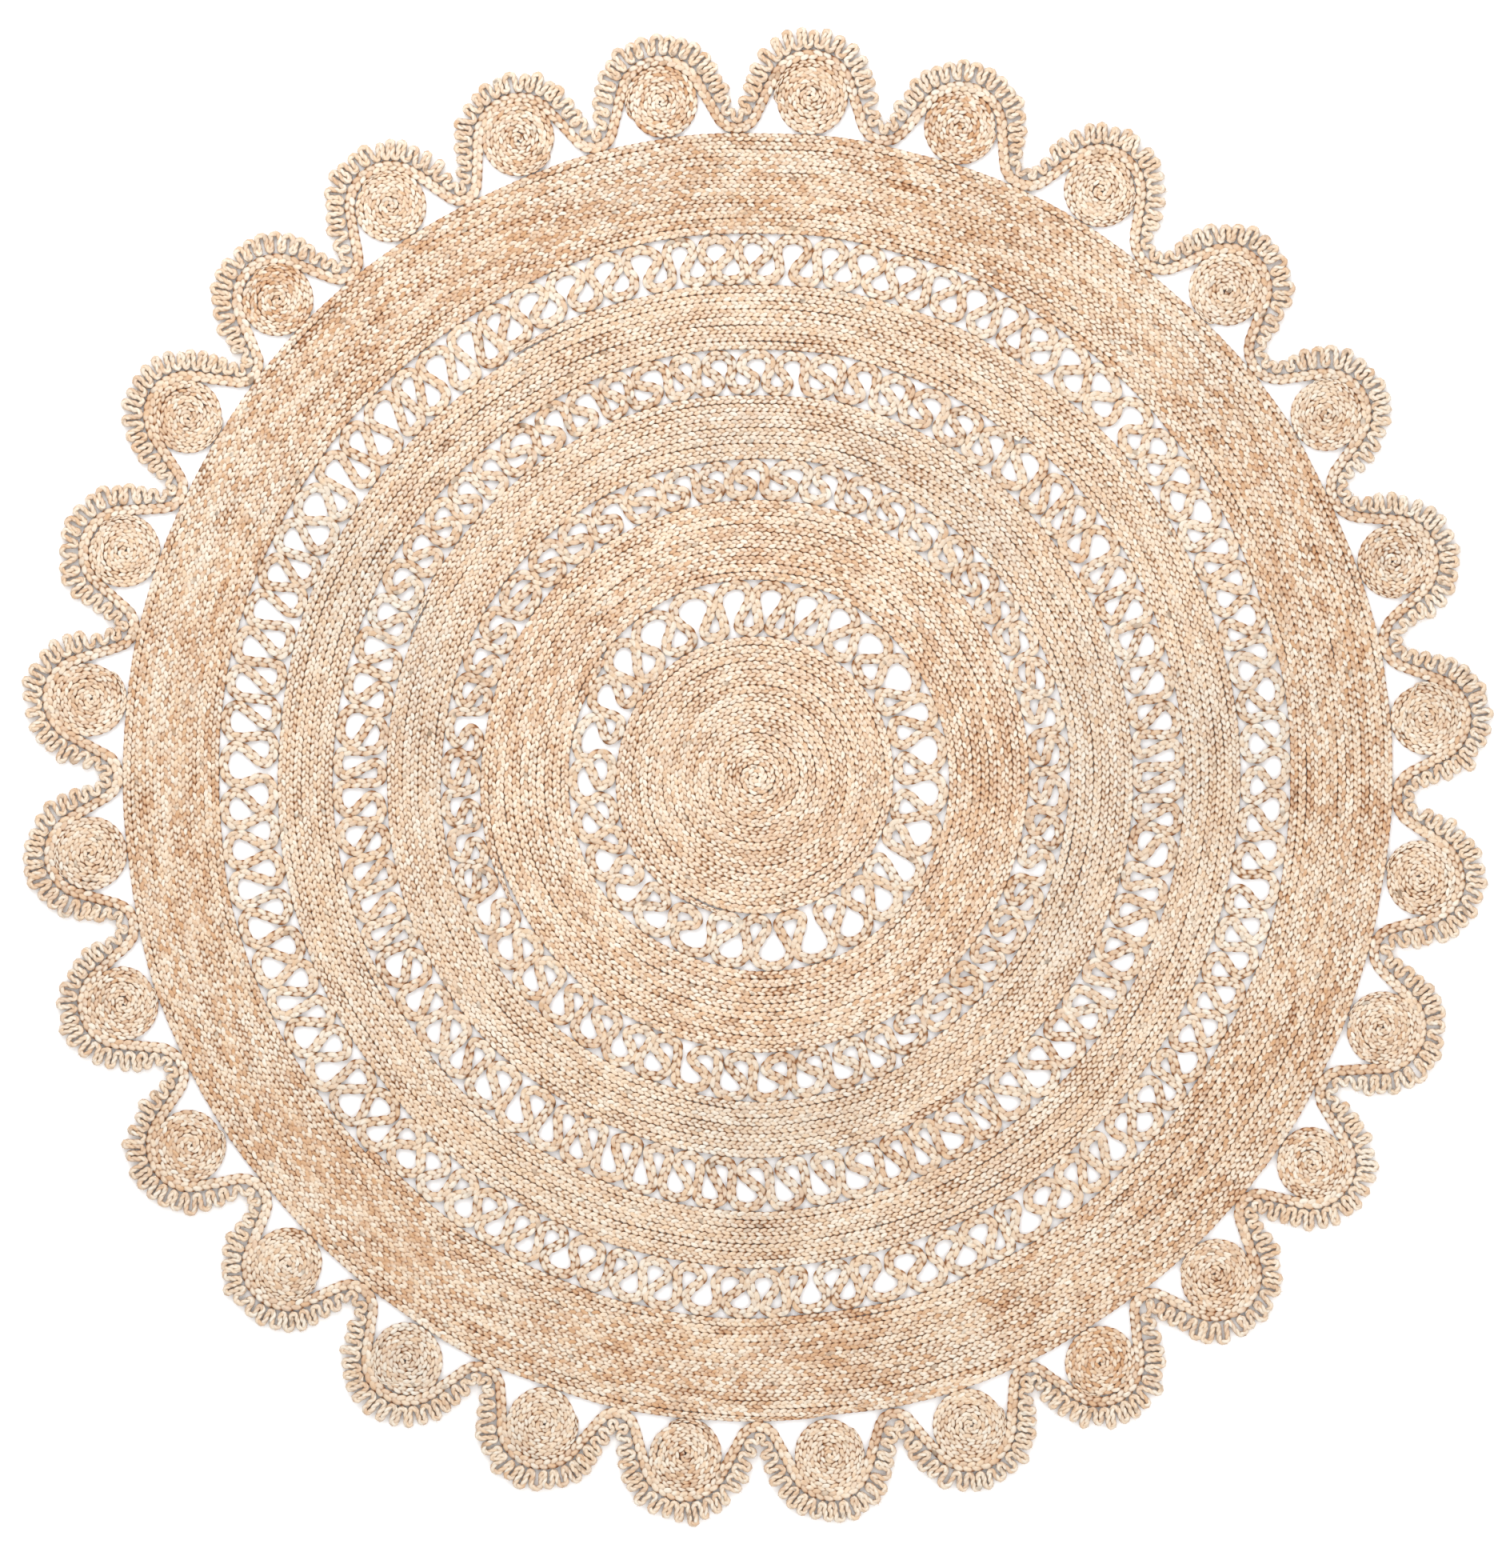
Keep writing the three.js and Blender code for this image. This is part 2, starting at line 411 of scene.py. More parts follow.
def section():
    """Corners of a strand's section, as parts of its two radii, from its underside round."""
    bearing = TURN * np.arange(SIDES) / SIDES - math.pi / 2
    ways = np.stack([np.cos(bearing), np.sin(bearing)])
    return np.sign(ways) * np.abs(ways) ** SECTION_ROUNDNESS


def strand_places(strand):
    """Corners of all the rings of a strand; none lies under the floor."""
    across_part, up_part = section()
    across = strand["side_radius"][:, None, None] * across_part[None, :, None] * strand["side"][:, None, :]
    rise = strand["rise_radius"][:, None, None] * up_part[None, :, None] * strand["rise"][:, None, :]
    ring = strand["middle"][:, None, :] + across + rise
    ring[:, :, 2] = np.maximum(ring[:, :, 2], 0.0)
    return ring.reshape(-1, 3)


def square(u0, u1, v0, v1):
    """Map corners of a strand's quads, in the order of their corners."""
    return np.stack([u0, v0, u0, v1, u1, v1, u1, v0], -1).reshape(-1, 2)


def mesh_of(name, strands):
    """One mesh of closed strands, with a map along the yarn and one that lays every strand out flat."""
    places, corners, counts, yarn, flat = [], [], [], [], []
    total_steps = sum(len(s["middle"]) - 1 for s in strands)
    grid = math.ceil(math.sqrt(total_steps + 2))
    first = 0
    cell = 0
    around = np.arange(SIDES)
    for strand in strands:
        rings = len(strand["middle"])
        places.append(strand_places(strand))
        ring_starts = first + np.arange(rings - 1)[:, None] * SIDES
        here, there = ring_starts + around[None, :], ring_starts + ((around + 1) % SIDES)[None, :]
        corners.append(np.stack([here, there, there + SIDES, here + SIDES], -1).reshape(-1))
        counts.append(np.full((rings - 1) * SIDES, 4))
        length = strand["along"] + YARN_OFFSET * strand["id"]
        shape = here.shape
        v0 = np.broadcast_to((around / SIDES)[None, :], shape)
        v1 = v0 + 1 / SIDES
        u0, u1 = np.broadcast_to(length[:-1, None], shape), np.broadcast_to(length[1:, None], shape)
        yarn.append(square(u0, u1, v0, v1))
        step = cell + np.arange(rings - 1)
        column, row = (step % grid)[:, None], (step // grid)[:, None]
        x0, x1 = np.broadcast_to(column / grid, shape), np.broadcast_to((column + 1) / grid, shape)
        flat.append(square(x0, x1, (row + v0) / grid, (row + v1) / grid))
        for end, order, edge in ((0, around[::-1], 0.0), (rings - 1, around, 1.0)):
            corners.append(first + end * SIDES + order)
            counts.append(np.array([SIDES]))
            column, row = (cell + min(end, rings - 2)) % grid, (cell + min(end, rings - 2)) // grid
            yarn.append(np.stack([np.full(SIDES, length[end]), order / SIDES], 1))
            flat.append(np.stack([(column + 0.5 + (edge - 0.5) * CAP_SPREAD * (order % 2)) / grid,
                                  (row + order / SIDES) / grid], 1))
        cell += rings - 1
        first += rings * SIDES
    places = np.concatenate(places).astype(np.float32)
    corners = np.concatenate(corners).astype(np.int32)
    counts = np.concatenate(counts).astype(np.int32)
    mesh = bpy.data.meshes.new(name)
    mesh.vertices.add(len(places))
    mesh.vertices.foreach_set("co", places.ravel())
    mesh.loops.add(len(corners))
    mesh.loops.foreach_set("vertex_index", corners)
    mesh.polygons.add(len(counts))
    mesh.polygons.foreach_set("loop_start", np.concatenate([[0], np.cumsum(counts)[:-1]]).astype(np.int32))
    mesh.polygons.foreach_set("use_smooth", np.ones(len(counts), bool))
    for layer, values in (("Yarn", yarn), ("OFBake", flat)):
        uv = mesh.uv_layers.new(name=layer, do_init=False)
        uv.uv.foreach_set("vector", np.concatenate(values).astype(np.float32).ravel())
    mesh.update(calc_edges=True)
    mesh.validate()
    return mesh


def add_piece(name, strands, node, material):
    """Makes one object of these strands and ties it to the frame."""
    piece = bpy.data.objects.new(name, mesh_of(name, strands))
    bpy.context.scene.collection.objects.link(piece)
    piece.data.materials.append(material)
    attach(piece, "root")
    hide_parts(node)
    return piece


def add_lengths(name, strands, node, material, least=1):
    """Makes a long plait in as many pieces as it takes."""
    rings = min(FACES_PER_PIECE // (SIDES * STRANDS), math.ceil(len(strands[0]["middle"]) / least))
    parts = cut_strands(strands, rings)
    for i, part in enumerate(parts):
        add_piece(f"{name}_{i + 1}" if len(parts) > 1 else name, part, node, material)


def fibres(spots, ways, rng, shortest=0.002, longest=0.0065, rings=5, curl=0.5):
    """Fine loose fibres that start at these spots and head the given ways."""
    strands = []
    flatter = np.array([1, 1, 0.5])
    nearly_up = [0.05, 0.03, 1.0]
    for spot, way in zip(spots, ways):
        length = rng.uniform(shortest, longest)
        heading = unit(np.asarray(way) + rng.normal(0, curl, 3) * flatter)
        bend = rng.normal(0, curl, 3) * flatter
        middle = [np.asarray(spot)]
        for _ in range(rings - 1):
            heading = unit(heading + bend / 2)
            middle.append(middle[-1] + heading * length / (rings - 1))
        middle = np.array(middle)
        middle[:, 2] = np.maximum(middle[:, 2], FIBRE_FLOOR)
        ahead = unit(np.gradient(middle, axis=0))
        side = unit(np.cross(ahead, nearly_up))
        radius = rng.uniform(*FIBRE_RADII) * np.linspace(1, FIBRE_TIP, rings)
        strands.append({
            "middle": middle,
            "side": side,
            "rise": np.cross(side, ahead),
            "side_radius": radius,
            "rise_radius": radius,
            "along": lengths_along(middle),
        })
    return strands


yarn_numbers = itertools.count(1)


def numbered(strands):
    """Gives every strand a number of its own."""
    for strand in strands:
        strand["id"] = next(yarn_numbers)
    return strands


# ---------------------------------------------------------------- routes


def ease(x):
    x = np.clip(x, 0, 1)
    return x * x * (3 - 2 * x)


def coil_route(first, last, pitch, start, tidy_turns=0.0, joggle=0.6):
    """A coil from radius first to radius last, with its width from place to place.

    With tidy_turns the last turns close up to a true circle, which the end of the plait joins in a thin
    tail. Each of them steps out to the next within the part joggle of its turn.
    """
    turns = (last - first) / pitch
    turn = np.linspace(0, turns, int(turns * POINTS_PER_TURN) + 2)
    level = turn.copy()
    width = np.ones(len(turn))
    part = np.mod(turn - turns, 1.0)
    if tidy_turns:
        rise = ease((part - (1 - joggle)) / joggle)
        share = ease(1 - (turns - turn - 1) / tidy_turns)
        level = turn + share * (rise - part)
        tail = turn > turns - 1
        level[tail] = turns - 1 + rise[tail] / 2
        width[tail] = 1 - rise[tail]
        keep = ~tail | (rise < TAIL_PART)
        turn, level, width = turn[keep], level[keep], width[keep]
    radius = first + pitch * level
    angle = start + TURN * turn
    route = np.stack([radius * np.cos(angle), radius * np.sin(angle)], 1)
    along = lengths_along(route)
    if not tidy_turns:
        width = width * (TAPER_WIDTH + (1 - TAPER_WIDTH) * ease((along[-1] - along) / TAPER_LENGTH))
    return route, width


class Coil:
    """A band between two radii; its edges are the real edges of its first and last turns."""

    def __init__(self, inner, outer, pitch, start, tidy=False):
        self.outer, self.pitch, self.start, self.tidy = outer, pitch, start, tidy
        self.first = max(inner, COIL_START)
        self.last = outer + pitch / 2 if tidy else outer
        self.turns = (self.last - self.first) / pitch

    def route(self):
        if self.tidy:
            return coil_route(self.first, self.last, self.pitch, self.start, self.turns - 2, TIDY_JOGGLE)
        return coil_route(self.first, self.last, self.pitch, self.start)

    def inner_edge(self, angle):
        part = np.mod((angle - self.start) / TURN, 1.0)
        return self.first + self.pitch * (part - 0.5)

    def outer_edge(self, angle):
        if self.tidy:
            return np.full(np.shape(angle), self.outer)
        end = self.start + TURN * self.turns
        part = np.mod((end - angle) / TURN, 1.0)
        return self.last + self.pitch * (0.5 - part)


def softened(edge, angle, reach=0.05):
    """An edge's radius, averaged a little way to each side, so that a step in it becomes a slope."""
    return np.mean([edge(angle + reach * k / 3) for k in range(-3, 4)], axis=0)


def coils():
    pitch = sizes().row_pitch
    found = [Coil(0, RING_RADII[0], pitch, DISC_BEGINNING)]
    for ring, start in enumerate(BAND_BEGINNINGS, 1):
        found.append(Coil(RING_RADII[2 * ring - 1], RING_RADII[2 * ring], pitch, start, tidy=ring == 4))
    return found


def smooth_through(points, count):
    """A smooth closed line through points, with this many steps from each to the next."""
    before, after = np.roll(points, 1, 0), np.roll(points, -1, 0)
    later = np.roll(points, -2, 0)
    t = np.linspace(0, 1, count, endpoint=False)[None, :, None]
    p0, p1, p2, p3 = before[:, None], points[:, None], after[:, None], later[:, None]
    line = 0.5 * (2 * p1 + (p2 - p0) * t + (2 * p0 - 5 * p1 + 4 * p2 - p3) * t ** 2
                  + (3 * p1 - p0 - 3 * p2 + p3) * t ** 3)
    line = line.reshape(-1, 2)
    return np.concatenate([line, line[:1]])


def rounded(part):
    """A sine or cosine, brought nearer to a square's."""
    return math.copysign(abs(part) ** ARCH_ROUNDNESS, part)


def openwork_route(inner_edge, outer_edge, loops, shift, rng):
    """One plait that winds to and fro between two edges, each arch leaning on its neighbours."""
    half = sizes().plait_width / 2
    pitch = TURN / loops
    gaps = 1 + np.clip(rng.normal(0, 0.09, loops), -0.2, 0.25)
    starts = np.concatenate([[0], np.cumsum(gaps)])[:-1] * TURN / gaps.sum() + rng.uniform(0, TURN)
    spans = pitch * gaps / gaps.mean()
    points = []
    for i in range(loops):
        middle_out = starts[i] + spans[i] / 2
        middle_in = middle_out + (spans[i] + spans[(i + 1) % loops]) / 2 * (shift + rng.normal(0, 0.04))
        outer = float(softened(outer_edge, middle_out)) - half * ARCH_BITE
        inner = float(softened(inner_edge, middle_in)) + half * ARCH_BITE
        depth = outer - inner
        for middle, peak, sign in ((middle_out, outer, 1), (middle_in, inner, -1)):
            peak -= sign * abs(rng.normal(0, 0.0008))
            reach = max((spans[i] * peak - 2 * half * rng.uniform(0.96, 1.06)) / 2, half)
            rise = min(reach * rng.uniform(0.95, 1.15), depth * ARCH_DEEPEST)
            tilt = rng.normal(0, 0.09)
            skew = rng.normal(0, 0.05)
            for turn in ARCH_BENDS:
                bend = math.radians(turn)
                drop = rise * (1 - rounded(math.sin(bend)))
                x = reach * rounded(math.cos(bend)) * (1 + skew * math.sin(bend))
                x += tilt * (rise - drop) * sign
                radius = peak - sign * drop
                angle = middle + x / radius
                points.append((radius * math.cos(angle), radius * math.sin(angle)))
    return smooth_through(np.array(points), ARCH_STEPS)


def rosette_places():
    """Middle of each rosette on the true round, with its radius."""
    found = []
    for k in range(1, SCALLOPS + 1):
        node = f"rosette_{k:02d}"
        found.append((as_round(box_middle(node)), ring_radius(node)))
    return found


def arc(middle, radius, heading, sweep, count):
    """Points round a middle, from heading - sweep to heading + sweep."""
    ways = heading + np.linspace(-sweep, sweep, count)
    return middle + radius * np.stack([np.cos(ways), np.sin(ways)], 1)


def scallop_route():
    """Middle line of the scallop plait, with 0 on its crests, 1 in its valleys and values between."""
    half = sizes().plait_width / 2
    places = rosette_places()
    floor = RIM_RADIUS + half
    line, valley_share = [], []
    parts = np.linspace(0, 1, FLANK_POINTS + 2)[1:-1]
    for k, (centre, radius) in enumerate(places):
        following = places[(k + 1) % len(places)][0]
        angle = math.atan2(centre[1], centre[0])
        next_angle = math.atan2(following[1], following[0])
        half_gap = ((next_angle - angle) % TURN) / 2
        crest = radius + half
        slope = math.cos(SCALLOP_LEAN - half_gap)
        valley = (floor * slope - np.linalg.norm(centre) * math.cos(SCALLOP_LEAN) - crest) / (1 - slope)
        over = arc(centre, crest, angle, SCALLOP_LEAN, CREST_POINTS)
        valley_angle = angle + half_gap
        valley_middle = (floor + valley) * np.array([math.cos(valley_angle), math.sin(valley_angle)])
        under = arc(valley_middle, valley, valley_angle + math.pi, half_gap - SCALLOP_LEAN, VALLEY_POINTS)
        next_over = arc(following, crest, next_angle, SCALLOP_LEAN, CREST_POINTS)[0]
        down = over[-1] + (under[0] - over[-1]) * parts[:, None]
        up = under[-1] + (next_over - under[-1]) * parts[:, None]
        line += [over, down, under, up]
        valley_share += [np.zeros(CREST_POINTS), parts, np.ones(VALLEY_POINTS), 1 - parts]
    return np.concatenate(line + [line[0][:1]]), np.concatenate(valley_share + [[0.0]])


def edging_route(rng):
    """The plait that stands on its edge and folds into small loops outside the scallop plait."""
    size = sizes()
    base, valley_share = scallop_route()
    ahead = unit(np.gradient(base, axis=0))
    ahead[0] = ahead[-1] = unit((ahead[0] + ahead[-1])[None])[0]
    outward = np.stack([ahead[:, 1], -ahead[:, 0]], 1)
    stand, half = size.plait_width / 2, size.edge_width / 2
    valley_share = valley_share ** VALLEY_SHARPNESS
    reaches = size.crest_reach * (1 - valley_share) + size.valley_reach * valley_share
    middle_line = base + outward * (stand + reaches / 2)[:, None]
    along = lengths_along(middle_line)
    count = SCALLOPS * size.loops_per_scallop
    gaps = 1 + np.clip(rng.normal(0, 0.11, count), -0.25, 0.3)
    starts = np.concatenate([[0], np.cumsum(gaps)]) * along[-1] / gaps.sum()
    # Loops are pinched together at their tips here and at their roots there.
    closeness = 0.24 * np.sin(starts / 0.11 + rng.uniform(0, TURN)) + rng.normal(0, 0.12, count + 1)
    points = []

    def place(distance, height):
        distance = distance % along[-1]
        spot = np.array([np.interp(distance, along, base[:, i]) for i in (0, 1)])
        way = np.array([np.interp(distance, along, outward[:, i]) for i in (0, 1)])
        points.append(spot + way / np.linalg.norm(way) * (stand + height))

    for i in range(count):
        low, high = starts[i], starts[i + 1]
        middle = (low + high) / 2
        quarter = (high - low) / 4
        tip = (np.interp(middle % along[-1], along, reaches) - half) * (1 + rng.normal(0, 0.075))
        root = half * rng.uniform(0.85, 1.1)
        top = middle + rng.normal(0, 0.3) * quarter
        tip_half = quarter * (1 - closeness[i])
        tip_round = min(tip_half * 1.1, (tip - root) * 0.4)
        left, right = (quarter * (1 + 0.8 * closeness[i]) * rng.uniform(0.92, 1.05) for _ in range(2))
        root_round = min(quarter * 1.1, (tip - root) * 0.4)
        place(low, root)
        place(low + left * LOOP_ROUNDING, root + root_round * ROOT_CORNER)
        place(low + left, root + root_round)
        place(top - tip_half, tip - tip_round)
        place(top - tip_half * LOOP_ROUNDING, tip - tip_round * TIP_CORNER)
        place(top, tip)
        place(top + tip_half * LOOP_ROUNDING, tip - tip_round * TIP_CORNER)
        place(top + tip_half, tip - tip_round)
        place(high - right, root + root_round)
        place(high - right * LOOP_ROUNDING, root + root_round * ROOT_CORNER)
    return smooth_through(np.array(points), LOOP_STEPS)


# ---------------------------------------------------------------- materials


def jute_group():
    """Colour, roughness and fine relief of jute yarn, along and around each strand, with painted shade on
    the strands' sides and deep between them.
    """
    name = "Jute Yarn"
    if name in bpy.data.node_groups:
        return bpy.data.node_groups[name]
    group = bpy.data.node_groups.new(name, "ShaderNodeTree")
    face = group.interface
    for label in ("Cream", "Straw", "Honey", "Bark"):
        face.new_socket(name=label, in_out="INPUT", socket_type="NodeSocketColor")
    for label in ("Honey Share", "Patch Strength", "Middle Height", "Half Height"):
        face.new_socket(name=label, in_out="INPUT", socket_type="NodeSocketFloat")
    face.new_socket(name="Color", in_out="OUTPUT", socket_type="NodeSocketColor")
    for label in ("Roughness", "Relief"):
        face.new_socket(name=label, in_out="OUTPUT", socket_type="NodeSocketFloat")
    nodes, links = group.nodes, group.links
    given = nodes.new("NodeGroupInput")
    result = nodes.new("NodeGroupOutput")

    def maths(operation, a, b=None, clamp=False):
        node = nodes.new("ShaderNodeMath")
        node.operation = operation
        node.use_clamp = clamp
        for i, value in enumerate((a, b)):
            if value is None:
                continue
            if isinstance(value, (int, float)):
                node.inputs[i].default_value = value
            else:
                links.new(value, node.inputs[i])
        return node.outputs[0]

    def spread(value, low, high, to_low=0.0, to_high=1.0, smooth=True):
        node = nodes.new("ShaderNodeMapRange")
        node.interpolation_type = "SMOOTHSTEP" if smooth else "LINEAR"
        links.new(value, node.inputs["Value"])
        limits = {"From Min": low, "From Max": high, "To Min": to_low, "To Max": to_high}
        for label, number in limits.items():
            node.inputs[label].default_value = number
        return node.outputs["Result"]

    def blend(share, a, b, way="MIX"):
        node = nodes.new("ShaderNodeMix")
        node.data_type = "RGBA"
        node.blend_type = way
        for value, label in ((share, 0), (a, 6), (b, 7)):
            if isinstance(value, (int, float, tuple)):
                node.inputs[label].default_value = value
            else:
                links.new(value, node.inputs[label])
        return node.outputs[2]

    def noise(vector, scale, detail=2.0, rough=0.5):
        node = nodes.new("ShaderNodeTexNoise")
        node.noise_dimensions = "3D"
        node.inputs["Scale"].default_value = scale
        node.inputs["Detail"].default_value = detail
        node.inputs["Roughness"].default_value = rough
        links.new(vector, node.inputs["Vector"])
        return node.outputs["Fac"]

    def vector(x, y, z=0.0):
        node = nodes.new("ShaderNodeCombineXYZ")
        for value, label in ((x, "X"), (y, "Y"), (z, "Z")):
            if isinstance(value, (int, float)):
                node.inputs[label].default_value = value
            else:
                links.new(value, node.inputs[label])
        return node.outputs[0]

    yarn = nodes.new("ShaderNodeUVMap")
    yarn.uv_map = "Yarn"
    yarn_parts = nodes.new("ShaderNodeSeparateXYZ")
    links.new(yarn.outputs["UV"], yarn_parts.inputs[0])
    along, around = yarn_parts.outputs["X"], yarn_parts.outputs["Y"]
    # The way around a strand is read off a circle, so it has no seam.
    bearing = maths("MULTIPLY", around, TURN)
    beside, above = maths("COSINE", bearing), maths("SINE", bearing)
    spot = nodes.new("ShaderNodeTexCoord")
    spot_parts = nodes.new("ShaderNodeSeparateXYZ")
    links.new(spot.outputs["Object"], spot_parts.inputs[0])

    # Paler and darker stretches of the yarn, then warmer ones, both short and long.
    tone = noise(vector(along, 0.0), 62.0, 3.0, 0.65)
    long_tone = noise(vector(maths("ADD", along, 19.7), 2.2), 6.0, 2.0, 0.5)
    pale = maths("ADD", tone, maths("MULTIPLY", maths("SUBTRACT", long_tone, 0.5), 0.6))
    colour = blend(spread(pale, 0.31, 0.69), given.outputs["Straw"], given.outputs["Cream"])
    warm = noise(vector(maths("ADD", along, 41.3), 7.7), 28.0, 3.0, 0.62)
    patch = noise(spot.outputs["Object"], 5.5, 2.0, 0.5)
    warm_here = maths("ADD", warm, maths("MULTIPLY", maths("SUBTRACT", patch, 0.5), 0.25))
    warm_share = maths("MULTIPLY", spread(warm_here, 0.45, 0.64), given.outputs["Honey Share"], clamp=True)
    colour = blend(warm_share, colour, given.outputs["Honey"])

    # Bits of bark: dull stretches, and a rare dark lobe.
    dull = noise(vector(maths("ADD", along, 77.1), 5.1), 52.0, 2.0, 0.6)
    colour = blend(maths("MULTIPLY", spread(dull, 0.60, 0.76), 0.5), colour, given.outputs["Bark"])
    fleck = noise(vector(maths("ADD", along, 5.3), 3.1, maths("MULTIPLY", above, 0.004)), 48.0, 1.0, 0.5)
    colour = blend(maths("MULTIPLY", spread(fleck, 0.70, 0.77), 0.7), colour, given.outputs["Bark"])

    # Large greyer patches of the rug.
    place = vector(spot_parts.outputs["X"], spot_parts.outputs["Y"], 4.0)
    grey_patch = spread(noise(place, 3.2, 2.0, 0.5), 0.48, 0.66)
    grey_share = maths("MULTIPLY", grey_patch, given.outputs["Patch Strength"], clamp=True)
    colour = blend(grey_share, colour, blend(1.0, colour, GREY_TINT, "MULTIPLY"))

    # Fibres run along the yarn.
    fibre_place = vector(along, maths("MULTIPLY", beside, 0.067), maths("MULTIPLY", above, 0.067))
    fibre = noise(fibre_place, 70.0, 3.0, 0.65)
    streak = spread(fibre, 0.25, 0.75, 0.78, 1.14, smooth=False)
    streak_colour = nodes.new("ShaderNodeCombineColor")
    for label in ("Red", "Green", "Blue"):
        links.new(streak, streak_colour.inputs[label])
    colour = blend(1.0, colour, streak_colour.outputs[0], "MULTIPLY")

    # Painted shade: the sides of the strands, which face sideways, and what lies deep between them are
    # darkened with warm brown tints.
    facing = nodes.new("ShaderNodeNewGeometry")
    facing_parts = nodes.new("ShaderNodeSeparateXYZ")
    links.new(facing.outputs["Normal"], facing_parts.inputs[0])
    # painted shade, strongest where the surface faces sideways
    side_shade = spread(maths("ABSOLUTE", facing_parts.outputs["Z"]), 0.05, 0.66, 0.72, 0.0)
    colour = blend(side_shade, colour, blend(1.0, colour, SIDE_SHADE_TINT, "MULTIPLY"))
    # Painted shade deep between the strands: darkest near the middle height, fading out towards the top and
    # bottom of a strand.
    height = maths("SUBTRACT", spot_parts.outputs["Z"], given.outputs["Middle Height"])
    exposed = maths("DIVIDE", maths("ABSOLUTE", height), given.outputs["Half Height"])
    deep_shade = spread(exposed, 0.25, 0.80, 1.0, 0.0)
    colour = blend(deep_shade, colour, blend(1.0, colour, DEEP_SHADE_TINT, "MULTIPLY"))
    links.new(colour, result.inputs["Color"])
    links.new(spread(tone, 0.3, 0.7, 0.95, 0.80), result.inputs["Roughness"])
    links.new(fibre, result.inputs["Relief"])
    return group


def jute_material(name, look, height, middle=0.5):
    """A matt jute with its own look, with painted shade darkest at the middle of its height."""
    if name in bpy.data.materials:
        return bpy.data.materials[name]
    honey_share, patch_strength, brightness = look
    material = bpy.data.materials.new(name)
    material.use_nodes = True
    nodes, links = material.node_tree.nodes, material.node_tree.links
    shader = nodes["Principled BSDF"]
    yarn = nodes.new("ShaderNodeGroup")
    yarn.node_tree = jute_group()
    tint = colours()
    for label in ("Cream", "Straw", "Honey", "Bark"):
        colour = getattr(tint, label.lower())
        yarn.inputs[label].default_value = [min(1, part * brightness) for part in colour[:3]] + [1]
    yarn.inputs["Honey Share"].default_value = honey_share
    yarn.inputs["Patch Strength"].default_value = patch_strength
    yarn.inputs["Middle Height"].default_value = height * middle
    yarn.inputs["Half Height"].default_value = height / 2
    links.new(yarn.outputs["Color"], shader.inputs["Base Color"])
    links.new(yarn.outputs["Roughness"], shader.inputs["Roughness"])
    bump = nodes.new("ShaderNodeBump")
    bump.inputs["Strength"].default_value = 0.5
    bump.inputs["Distance"].default_value = 0.0004
    links.new(yarn.outputs["Relief"], bump.inputs["Height"])
    links.new(bump.outputs["Normal"], shader.inputs["Normal"])
    shader.inputs["Specular IOR Level"].default_value = 0.25
    shader.inputs["Sheen Weight"].default_value = 0.12
    shader.inputs["Sheen Roughness"].default_value = 0.5
    shader.inputs["Sheen Tint"].default_value = (1.0, 0.93, 0.82, 1)
    return material


# ---------------------------------------------------------------- operators


class RUG_OT_centre_disc(bpy.types.Operator):
    """Coil the centre disc"""

    bl_idname = "rug.centre_disc"
    bl_label = "Centre Disc"

    def execute(self, context):
        size = sizes()
        rng = np.random.default_rng(DISC_SEED)
        route, widths = coils()[0].route()
        strands = numbered(plait(route, widths, size.row_pitch * size.snugness, size.thickness, rng))
        material = jute_material("Disc Jute", DISC_LOOK, size.thickness)
        add_lengths("centre_disc_coil", strands, "centre_disc", material)
        return {"FINISHED"}


class RUG_OT_solid_bands(bpy.types.Operator):
    """Coil the four solid bands"""

    bl_idname = "rug.solid_bands"
    bl_label = "Solid Bands"

    def execute(self, context):
        size = sizes()
        for ring, (coil, look) in enumerate(zip(coils()[1:], BAND_LOOKS), 1):
            rng = np.random.default_rng(BAND_SEED + ring)
            route, widths = coil.route()
            strands = numbered(plait(route, widths, size.row_pitch * size.snugness, size.thickness, rng))
            material = jute_material(f"Band {ring} Jute", look, size.thickness)
            add_lengths(f"solid_band_{ring}_coil", strands, f"solid_band_{ring}", material)
        return {"FINISHED"}


class RUG_OT_openwork(bpy.types.Operator):
    """Wind the four openwork rings"""

    bl_idname = "rug.openwork"
    bl_label = "Openwork Rings"

    def execute(self, context):
        size = sizes()
        found = coils()
        for ring, (loops, shift, look) in enumerate(zip(OPENWORK_LOOPS, OPENWORK_SHIFT, OPENWORK_LOOKS), 1):
            rng = np.random.default_rng(OPENWORK_SEED + ring)
            route = openwork_route(found[ring - 1].outer_edge, found[ring].inner_edge, loops, shift, rng)
            width = size.plait_width * size.fullness
            strands = plait(route, np.ones(len(route)), width, size.thickness, rng, closed=True,
                            weave=size.weave_length * size.open_weave, steps=OPENWORK_STEPS,
                            strand_width=OPENWORK_STRAND_WIDTH)
            material = jute_material(f"Openwork {ring} Jute", look, size.thickness)
            add_lengths(f"openwork_ring_{ring}_plait", numbered(strands), f"openwork_ring_{ring}",
                        material)
        return {"FINISHED"}


